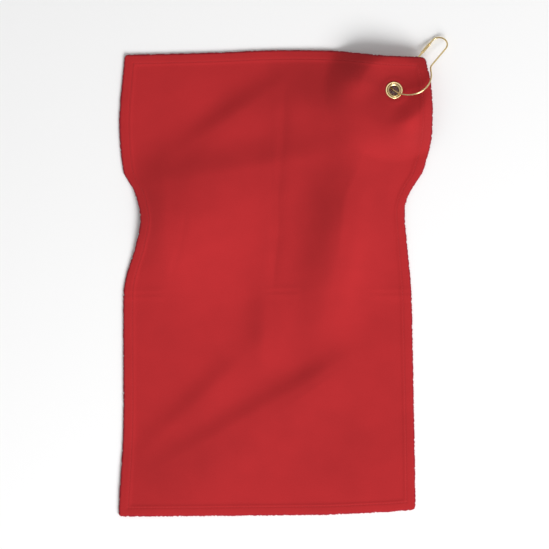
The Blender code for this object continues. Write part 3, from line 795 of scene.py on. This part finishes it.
def pinch_at_grommet(points, top):
    """Squeeze the cloth between flange and washer, and let it puff up round them."""
    inverse = np.array(GROMMET_FRAME.inverted())
    forward = np.array(GROMMET_FRAME)
    local = points @ inverse[:3, :3].T + inverse[:3, 3]
    reach = np.hypot(local[:, 0], local[:, 1])
    seat = np.where(top, EYELET_FLANGE_RADIUS, WASHER_RADIUS) + PINCH_MARGIN
    pinched = 1.0 - smoothstep((reach - seat) / PINCH_STEP)
    target = np.where(top, CLOTH_PINCHED / 2, -CLOTH_PINCHED / 2)
    puff = PUFF_HEIGHT * np.exp(-((reach - seat - PUFF_DISTANCE) / PUFF_WIDTH) ** 2)
    local[:, 2] = local[:, 2] * (1.0 - pinched) + target * pinched + np.where(top, puff, 0.0)
    return local @ forward[:3, :3].T + forward[:3, 3]


def write_cloth_maps(mesh, across, along):
    """UV map in shares of the flat towel, the distance to the nearest edge, and the painted shade."""
    corners = np.empty(len(mesh.loops), dtype=np.int64)
    mesh.loops.foreach_get("vertex_index", corners)
    uv = np.stack((across[corners] / TOWEL_WIDTH, along[corners] / TOWEL_LENGTH), axis=1)
    layer = mesh.uv_layers.new(name="flat_towel")
    layer.uv.foreach_set("vector", uv.astype(np.float32).ravel())
    # Painted shade and painted light patches, placed over the towel as it lies
    painted_share = ridge_heights(*laid_place(across, along), PAINTED_SHADE_PATCHES)
    for name, values in (("edge_inset", edge_insets(across, along)[2]), ("painted_shade_light", painted_share)):
        attribute = mesh.attributes.new(name, "FLOAT", "POINT")
        attribute.data.foreach_set("value", values.astype(np.float32))


def make_towel(settings):
    """The whole cloth with its hems, as one closed sheet."""
    shape = flat_cloth(settings.cell_size)
    split_rim(shape)
    open_grommet_hole(shape)
    bmesh.ops.reverse_faces(shape, faces=shape.faces)
    result = bmesh.ops.extrude_face_region(shape, geom=shape.faces[:], use_keep_orig=True)
    for item in result["geom"]:
        if isinstance(item, bmesh.types.BMVert):
            item.co.z = 1.0
    mesh = mesh_from("towel", shape)
    flat = vertex_values(mesh.vertices, "co", 3)
    top = flat[:, 2] > 0.5
    points = laid_points(flat[:, 0], flat[:, 1], top, settings)
    points = pinch_at_grommet(points, top)
    mesh.vertices.foreach_set("co", points.ravel())
    write_cloth_maps(mesh, flat[:, 0], flat[:, 1])
    mesh.update()
    towel = finish_piece("towel", mesh, velour_material(settings),
                         ["towel_cloth"])
    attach(towel, "towel")


# ---------------------------------------------------------------- sewing

def stitch_runs():
    """Start and end of each sewn row on the flat towel."""
    low = STITCH_INSET
    right = TOWEL_WIDTH - STITCH_INSET
    end = TOWEL_LENGTH - STITCH_INSET
    return {
        "plain_end": ((low, low), (right, low)),
        "grommet_end": ((low, end), (right, end)),
        "left": ((low, low), (low, end)),
        "right": ((right, low), (right, end)),
    }


def add_stitch(shape, start, end, up, radius):
    """One short stitch that dives into the cloth at both ends."""
    forward = (end - start).normalized()
    side = up.cross(forward).normalized()
    rise = forward.cross(side)
    turn = Matrix((forward, side, rise)).transposed().to_4x4()
    size = Matrix.Diagonal(((end - start).length / 2, radius * STITCH_FLATNESS, radius, 1.0))
    place = Matrix.Translation((start + end) / 2) @ turn @ size
    bmesh.ops.create_uvsphere(shape, u_segments=8, v_segments=5, radius=1.0, matrix=place)


def make_stitch_row(name, run, top, material, settings):
    (start_x, start_y), (end_x, end_y) = run
    length = math.hypot(end_x - start_x, end_y - start_y)
    count = int(length / settings.stitch_length)
    across = np.linspace(start_x, end_x, count + 1)
    along = np.linspace(start_y, end_y, count + 1)
    sides = np.full(count + 1, top)
    points = pinch_at_grommet(laid_points(across, along, sides, settings), sides)
    up = Vector((0.0, 0.0, 1.0 if top else -1.0))
    shape = bmesh.new()
    for index in range(count):
        start = Vector(points[index])
        end = Vector(points[index + 1])
        gap = (end - start) * STITCH_GAP
        add_stitch(shape, start + gap, end - gap, up, settings.thread_radius)
    kind = "needle_thread_" if top else "bobbin_thread_"
    mesh = mesh_from("stitches_" + kind + name, shape)
    row = finish_piece(mesh.name, mesh, material, [kind + name])
    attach(row, "towel")
    return row


# ---------------------------------------------------------------- grommet

def eyelet_mouth(height, half_height):
    """Radius of the flared hole at a height."""
    share = min(abs(height) / half_height, 1.0)
    return EYELET_HOLE_RADIUS + MOUTH_WIDENING * (1.0 - math.sqrt(1.0 - share * share))


def arc_outline(radius, height, size, start, end, steps):
    """Points of a round stretch of an outline, its angles in degrees."""
    points = []
    for index in range(steps + 1):
        angle = math.radians(start + (end - start) * index / steps)
        points.append((radius + size * math.cos(angle), height + size * math.sin(angle)))
    return points


def eyelet_outline():
    """Closed (radius, height) outline: rolled flange, groove, barrel and lip."""
    rim = EYELET_FLANGE_RADIUS
    barrel = EYELET_HOLE_RADIUS + EYELET_WALL
    lip = barrel + LIP_REACH
    bead = (FLANGE_TOP - FLANGE_UNDER) / 2
    outline = arc_outline(rim - bead, FLANGE_UNDER + bead, bead, 90, -90, 12)
    outline += [(barrel + EYELET_CHAMFER, FLANGE_UNDER), (barrel, FLANGE_UNDER - EYELET_CHAMFER),
                (barrel, -FLANGE_UNDER), (barrel + LIP_STEP, -LIP_TOP)]
    curl = (LIP_UNDER - LIP_TOP) / 2
    outline += arc_outline(lip - curl, -LIP_TOP - curl, curl, 90, -90, 6)
    steps = 10
    for index in range(1, steps + 1):
        height = -LIP_UNDER * (1 - index / steps)
        outline.append((eyelet_mouth(height, LIP_UNDER + MOUTH_SPARE), height))
    for index in range(1, steps + 1):
        height = FLANGE_TOP * index / steps
        outline.append((eyelet_mouth(height, FLANGE_TOP + MOUTH_SPARE), height))
    crown = EYELET_HOLE_RADIUS + MOUTH_WIDENING
    outline += [(crown + outwards * MM, FLANGE_TOP - depth * MM) for outwards, depth in FLANGE_GROOVE]
    return outline


def washer_outline():
    """Closed (radius, height) outline: a flat ring with a worn rim and a small inner chamfer."""
    inner = EYELET_HOLE_RADIUS + EYELET_WALL + WASHER_CLEARANCE
    thickness = WASHER_UNDER - FLANGE_UNDER
    chamfer = thickness / 5
    edge = [(WASHER_RADIUS - inwards * MM, -FLANGE_UNDER - share * thickness)
            for inwards, share in WASHER_EDGE]
    return [(inner, -FLANGE_UNDER), *edge, (inner + chamfer, -WASHER_UNDER),
            (inner, -WASHER_UNDER + chamfer)]


def write_tarnish_and_shade(mesh):
    """Mark where brass darkens: tarnish in the flange face's groove, and painted shade down in the
    hole.
    """
    inverse = np.array(GROMMET_FRAME.inverted())
    local = vertex_values(mesh.vertices, "co", 3) @ inverse[:3, :3].T + inverse[:3, 3]
    reach = np.hypot(local[:, 0], local[:, 1])
    groove = EYELET_HOLE_RADIUS + MOUTH_WIDENING + GROOVE_MIDDLE
    groove_tarnish_hole_shade = np.exp(-((reach - groove) / GRIME_WIDTH) ** 2)
    # Painted shade inside the barrel
    in_hole = reach < EYELET_HOLE_RADIUS + HOLE_SHADE_MARGIN
    in_hole &= local[:, 2] < FLANGE_TOP - HOLE_SHADE_BELOW_FACE
    groove_tarnish_hole_shade = np.maximum(groove_tarnish_hole_shade, HOLE_PAINTED_SHADE * in_hole)
    attribute = mesh.attributes.new("groove_tarnish_hole_shade", "FLOAT", "POINT")
    attribute.data.foreach_set("value", groove_tarnish_hole_shade.astype(np.float32))


def make_turned(name, outline, material, node, settings):
    """Spin a closed outline round the grommet's axis."""
    shape = bmesh.new()
    verts = [shape.verts.new((radius, 0.0, height)) for radius, height in outline]
    edges = [shape.edges.new((verts[index - 1], verts[index])) for index in range(len(verts))]
    bmesh.ops.spin(shape, geom=verts + edges, cent=(0, 0, 0), axis=(0, 0, 1),
                   angle=2 * math.pi, steps=settings.turned_steps, use_merge=True)
    bmesh.ops.recalc_face_normals(shape, faces=shape.faces)
    bmesh.ops.transform(shape, matrix=GROMMET_FRAME, verts=shape.verts)
    mesh = mesh_from(name, shape)
    write_tarnish_and_shade(mesh)
    piece = finish_piece(name, mesh, material, [node])
    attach(piece, "towel")


# ---------------------------------------------------------------- hook

def in_hook_plane(s, t):
    return Vector((s, -t, 0.0))


def rounded_corner_points(before, corner, after, radius):
    start = corner + (before - corner).normalized() * radius
    end = corner + (after - corner).normalized() * radius
    points = []
    for index in range(9):
        share = index / 8
        points.append(start.lerp(corner, share).lerp(corner.lerp(end, share), share))
    return points


def left_loop_point(angle):
    half = LOOP_LENGTH / 2
    return in_hook_plane(half * (1.0 - math.cos(angle)), -LOOP_LEFT_REACH * math.sin(angle))


def right_loop_point(angle):
    half = LOOP_LENGTH / 2
    t = LOOP_OFFSET + (LOOP_RIGHT_REACH - LOOP_OFFSET) * math.sin(angle)
    return in_hook_plane(half * (1.0 - math.cos(angle)), t)


def arc_points(point_at, start, end, count):
    return [point_at(start + (end - start) * index / count) for index in range(count + 1)]


def straight_points(start, end, count):
    """Points after start, up to and with end."""
    return [start.lerp(end, index / count) for index in range(1, count + 1)]


def gate_route():
    left = NECK_MIDDLE - NECK_HALF_WIDTH
    loop = arc_points(left_loop_point, GATE_PIVOT_ANGLE, LEFT_LOOP_END, 40)
    shoulder = in_hook_plane(NECK_START, left)
    tip = in_hook_plane(GATE_TIP, left)
    bend = rounded_corner_points(loop[-1], shoulder, tip, SHOULDER_ROUNDING)
    return loop + bend + straight_points(bend[-1], tip, 8)


def nose_points():
    points = []
    for index in range(41):
        angle = math.pi * index / 40
        reach = NECK_HALF_WIDTH * math.cos(angle)
        s = NECK_START + NECK_LENGTH + NOSE_LENGTH * math.sin(angle)
        points.append(in_hook_plane(s, NECK_MIDDLE + reach))
    return points


def hook_route():
    """From under the towel, through the grommet, round the loop, up the leg and over the nose."""
    hole_angle = -math.asin(LOOP_OFFSET / (LOOP_RIGHT_REACH - LOOP_OFFSET))
    under = arc_points(left_loop_point, GATE_PIVOT_ANGLE, LEFT_LOOP_START, 12)
    over = arc_points(right_loop_point, hole_angle + RIGHT_LOOP_LEAD, RIGHT_LOOP_END, 72)
    right = NECK_MIDDLE + NECK_HALF_WIDTH
    left = NECK_MIDDLE - NECK_HALF_WIDTH
    shoulder = in_hook_plane(NECK_START, right)
    leg_end = in_hook_plane(NECK_START + NECK_LENGTH, right)
    bend = rounded_corner_points(over[-1], shoulder, leg_end, SHOULDER_ROUNDING)
    leg = straight_points(bend[-1], leg_end, 10)[:-1]
    nose = nose_points()
    end = in_hook_plane(CATCH_START - WIRE_IN_CATCH, left)
    return under + over + bend + leg + nose + straight_points(nose[-1], end, 5)


def ring_places(route):
    """A matrix for each ring of a wire along the route, with rounded-off ends."""
    side = Vector((0.0, 0.0, 1.0))
    places = []
    last = len(route) - 1
    for index, point in enumerate(route):
        forward = (route[min(index + 1, last)] - route[max(index - 1, 0)]).normalized()
        places.append((point, forward, 1.0))
    ends = [(math.sqrt(1.0 - reach * reach), WIRE_RADIUS * (reach - END_SETBACK))
            for reach in END_REACHES]
    start, finish = places[0], places[-1]
    head = [(start[0] - start[1] * out, start[1], size) for size, out in ends]
    tail = [(finish[0] + finish[1] * out, finish[1], size) for size, out in reversed(ends)]
    matrices = []
    for point, forward, size in head + places[1:-1] + tail:
        across = forward.cross(side)
        turn = Matrix((across, side, forward)).transposed().to_4x4()
        radius = WIRE_RADIUS * size
        matrices.append(Matrix.Translation(point) @ turn @ Matrix.Scale(radius, 4))
    return matrices


def wire_mesh(name, route, settings):
    """A round wire: a circle extruded from ring to ring."""
    places = ring_places(route)
    shape = bmesh.new()
    bmesh.ops.create_circle(shape, cap_ends=False, segments=settings.wire_sides, radius=1.0,
                            matrix=places[0])
    ends = [shape.edges[:]]
    edges = shape.edges[:]
    for before, place in zip(places, places[1:]):
        result = bmesh.ops.extrude_edge_only(shape, edges=edges)
        verts = [item for item in result["geom"] if isinstance(item, bmesh.types.BMVert)]
        edges = [item for item in result["geom"] if isinstance(item, bmesh.types.BMEdge)
                 and item.is_boundary]
        bmesh.ops.transform(shape, matrix=place @ before.inverted(), verts=verts)
    ends.append(edges)
    for edges in ends:
        bmesh.ops.edgeloop_fill(shape, edges=edges)
    bmesh.ops.recalc_face_normals(shape, faces=shape.faces)
    bmesh.ops.transform(shape, matrix=HOOK_FRAME, verts=shape.verts)
    return mesh_from(name, shape)


def catch_point(run, share):
    """A point of the catch's middle surface; run goes along it and share round it."""
    low = CATCH_START - CATCH_LENGTH
    s = low + (CATCH_LENGTH + CATCH_OVERLAP) * run
    closing = float(smoothstep((s - CATCH_START + CATCH_CLOSING_LEAD) / CATCH_CLOSING_LENGTH))
    past_lip = float(smoothstep((s - low) / CATCH_LIP_LENGTH))
    radius = CATCH_RADIUS * (1 - closing) + WIRE_RADIUS * closing
    radius += CATCH_LIP_FLARE * (1 - past_lip)
    open_wrap = LIP_WRAP + (CATCH_WRAP - LIP_WRAP) * past_lip
    wrap = open_wrap * (1 - closing) + CLOSED_WRAP * closing
    angle = math.pi + share * wrap
    left = NECK_MIDDLE - NECK_HALF_WIDTH
    point = in_hook_plane(s, left + radius * math.cos(angle))
    point.z = radius * math.sin(angle)
    return point


def make_catch(material):
    """The wire's end pressed flat and rolled into a channel, open towards the inside."""
    shape = bmesh.new()
    bmesh.ops.create_grid(shape, x_segments=26, y_segments=14, size=1.0)
    for vert in shape.verts:
        vert.co = catch_point((vert.co.x + 1.0) / 2, vert.co.y)
    bmesh.ops.recalc_face_normals(shape, faces=shape.faces)
    bmesh.ops.solidify(shape, geom=shape.faces[:], thickness=CATCH_WALL)
    bmesh.ops.recalc_face_normals(shape, faces=shape.faces)
    bmesh.ops.transform(shape, matrix=HOOK_FRAME, verts=shape.verts)
    catch = finish_piece("hook_catch", mesh_from("hook_catch", shape), material, [])
    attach(catch, "hook")


def make_hook(material, settings):
    wire_shape = wire_mesh("hook_spring_wire", hook_route(), settings)
    wire = finish_piece("hook_spring_wire", wire_shape, material, ["hook_wire"])
    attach(wire, "hook")
    make_catch(material)
    gate_shape = wire_mesh("hook_gate_wire", gate_route(), settings)
    gate = finish_piece("hook_gate_wire", gate_shape, material, ["hook_gate"])
    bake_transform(gate)


# ---------------------------------------------------------------- stage

def make_floor(settings):
    shape = bmesh.new()
    bmesh.ops.create_grid(shape, x_segments=1, y_segments=1, size=FLOOR_REACH)
    mesh = mesh_from("floor", shape)
    material, _tree, shader = new_material("plain_floor")
    shader.inputs["Base Color"].default_value = (*settings.floor_colour, 1.0)
    shader.inputs["Roughness"].default_value = 0.9
    mesh.materials.append(material)
    floor = bpy.data.objects.new("floor", mesh)
    bpy.context.scene.collection.objects.link(floor)


def add_area_light(name, place, target, size, power):
    light = bpy.data.lights.new(name, "AREA")
    light.shape = "DISK"
    light.size = size
    light.energy = power
    lamp = bpy.data.objects.new(name, light)
    bpy.context.scene.collection.objects.link(lamp)
    lamp.location = place
    lamp.rotation_euler = (target - place).to_track_quat("-Z", "Y").to_euler()


def make_surroundings(overhead_level, wall_level):
    """A round soft-edged ceiling light in a dim room, which the metal mirrors."""
    world = bpy.data.worlds.new("studio")
    world.use_nodes = True
    tree = world.node_tree
    direction = tree.nodes.new("ShaderNodeTexCoord")
    facing = tree.nodes.new("ShaderNodeVectorMath")
    facing.operation = "DOT_PRODUCT"
    facing.inputs[1].default_value = CEILING_LIGHT_DIRECTION
    link(tree, direction, "Generated", facing, 0)
    rim = math.cos(CEILING_LIGHT_RIM)
    full = math.cos(CEILING_LIGHT_FULL)
    level = range_node(tree, (facing, "Value"), rim, full, wall_level, overhead_level)
    background = tree.nodes["Background"]
    background.inputs["Color"].default_value = (1.0, 1.0, 1.0, 1.0)
    link(tree, level, "Result", background, "Strength")
    bpy.context.scene.world = world


def make_camera():
    camera = bpy.data.cameras.new("camera")
    camera.sensor_width = SENSOR_WIDTH_MM
    camera.lens = SENSOR_WIDTH_MM * CAMERA_HEIGHT / VIEW_WIDTH
    holder = bpy.data.objects.new("camera", camera)
    bpy.context.scene.collection.objects.link(holder)
    holder.location = VIEW_CENTRE + Vector((0.0, 0.0, CAMERA_HEIGHT))
    bpy.context.scene.camera = holder


# ---------------------------------------------------------------- operators and panel

class GOLFTOWEL_OT_cloth(bpy.types.Operator):
    """Make the velour cloth with its turned hems"""

    bl_idname = "golftowel.cloth"
    bl_label = "Cloth"

    def execute(self, context):
        make_towel(context.scene.golf_towel)
        return {"FINISHED"}


class GOLFTOWEL_OT_stitches(bpy.types.Operator):
    bl_idname = "golftowel.stitches"
    bl_label = "Stitches"

    def execute(self, context):
        settings = context.scene.golf_towel
        material = thread_material(settings)
        for top in (True, False):
            for name, run in stitch_runs().items():
                make_stitch_row(name, run, top, material, settings)
        return {"FINISHED"}


class GOLFTOWEL_OT_grommet(bpy.types.Operator):
    """Make the brass eyelet and the washer on the towel's back"""

    bl_idname = "golftowel.grommet"
    bl_label = "Grommet"

    def execute(self, context):
        settings = context.scene.golf_towel_metal
        brass = brass_material("grommet_brass", settings.grommet_colour,
                               settings.tarnish_colour, roughness=0.2, tarnish_share=0.3)
        make_turned("eyelet", eyelet_outline(), brass, "grommet_eyelet", settings)
        make_turned("washer", washer_outline(), brass, "grommet_washer", settings)
        return {"FINISHED"}


class GOLFTOWEL_OT_hook(bpy.types.Operator):
    """Make the spring wire hook, its catch and its gate"""

    bl_idname = "golftowel.hook"
    bl_label = "Hook"

    def execute(self, context):
        settings = context.scene.golf_towel_metal
        gilt = brass_material("hook_gilt", settings.hook_colour, settings.tarnish_colour,
                              roughness=0.14, tarnish_share=0.25)
        make_hook(gilt, settings)
        return {"FINISHED"}


class GOLFTOWEL_OT_stage(bpy.types.Operator):
    """Make the floor, the lights and the camera"""

    bl_idname = "golftowel.stage"
    bl_label = "Stage"

    def execute(self, context):
        settings = context.scene.golf_towel_stage
        make_floor(settings)
        target = Vector((0.0, 0.0, 0.0))
        add_area_light("key", KEY_DIRECTION * KEY_DISTANCE, target, KEY_SIZE, settings.key_power)
        make_surroundings(settings.overhead_level, settings.wall_level)
        make_camera()
        context.scene.view_settings.view_transform = "Standard"
        return {"FINISHED"}


class GOLFTOWEL_PT_panel(bpy.types.Panel):
    """Settings and steps of the golf towel"""

    bl_label = "Golf towel"
    bl_idname = "GOLFTOWEL_PT_panel"
    bl_space_type = "VIEW_3D"
    bl_region_type = "UI"
    bl_category = "Golf towel"

    def draw(self, context):
        for group in (context.scene.golf_towel, context.scene.golf_towel_metal,
                      context.scene.golf_towel_stage):
            box = self.layout.box()
            for name in group.__annotations__:
                box.prop(group, name)
        for operator in OPERATORS:
            self.layout.operator(operator.bl_idname)


OPERATORS = (GOLFTOWEL_OT_cloth, GOLFTOWEL_OT_stitches, GOLFTOWEL_OT_grommet,
             GOLFTOWEL_OT_hook, GOLFTOWEL_OT_stage)
SETTINGS = {"golf_towel": TowelSettings, "golf_towel_metal": MetalSettings,
            "golf_towel_stage": StageSettings}


def register():
    for settings in SETTINGS.values():
        bpy.utils.register_class(settings)
    for operator in OPERATORS:
        bpy.utils.register_class(operator)
    bpy.utils.register_class(GOLFTOWEL_PT_panel)
    for name, settings in SETTINGS.items():
        setattr(bpy.types.Scene, name, bpy.props.PointerProperty(type=settings))


def unregister():
    for name in SETTINGS:
        delattr(bpy.types.Scene, name)
    bpy.utils.unregister_class(GOLFTOWEL_PT_panel)
    for operator in reversed(OPERATORS):
        bpy.utils.unregister_class(operator)
    for settings in reversed(SETTINGS.values()):
        bpy.utils.unregister_class(settings)


def main():
    register()
    bpy.ops.golftowel.cloth()
    bpy.ops.golftowel.stitches()
    bpy.ops.golftowel.grommet()
    bpy.ops.golftowel.hook()
    bpy.ops.golftowel.stage()


if __name__ == "__main__":
    main()
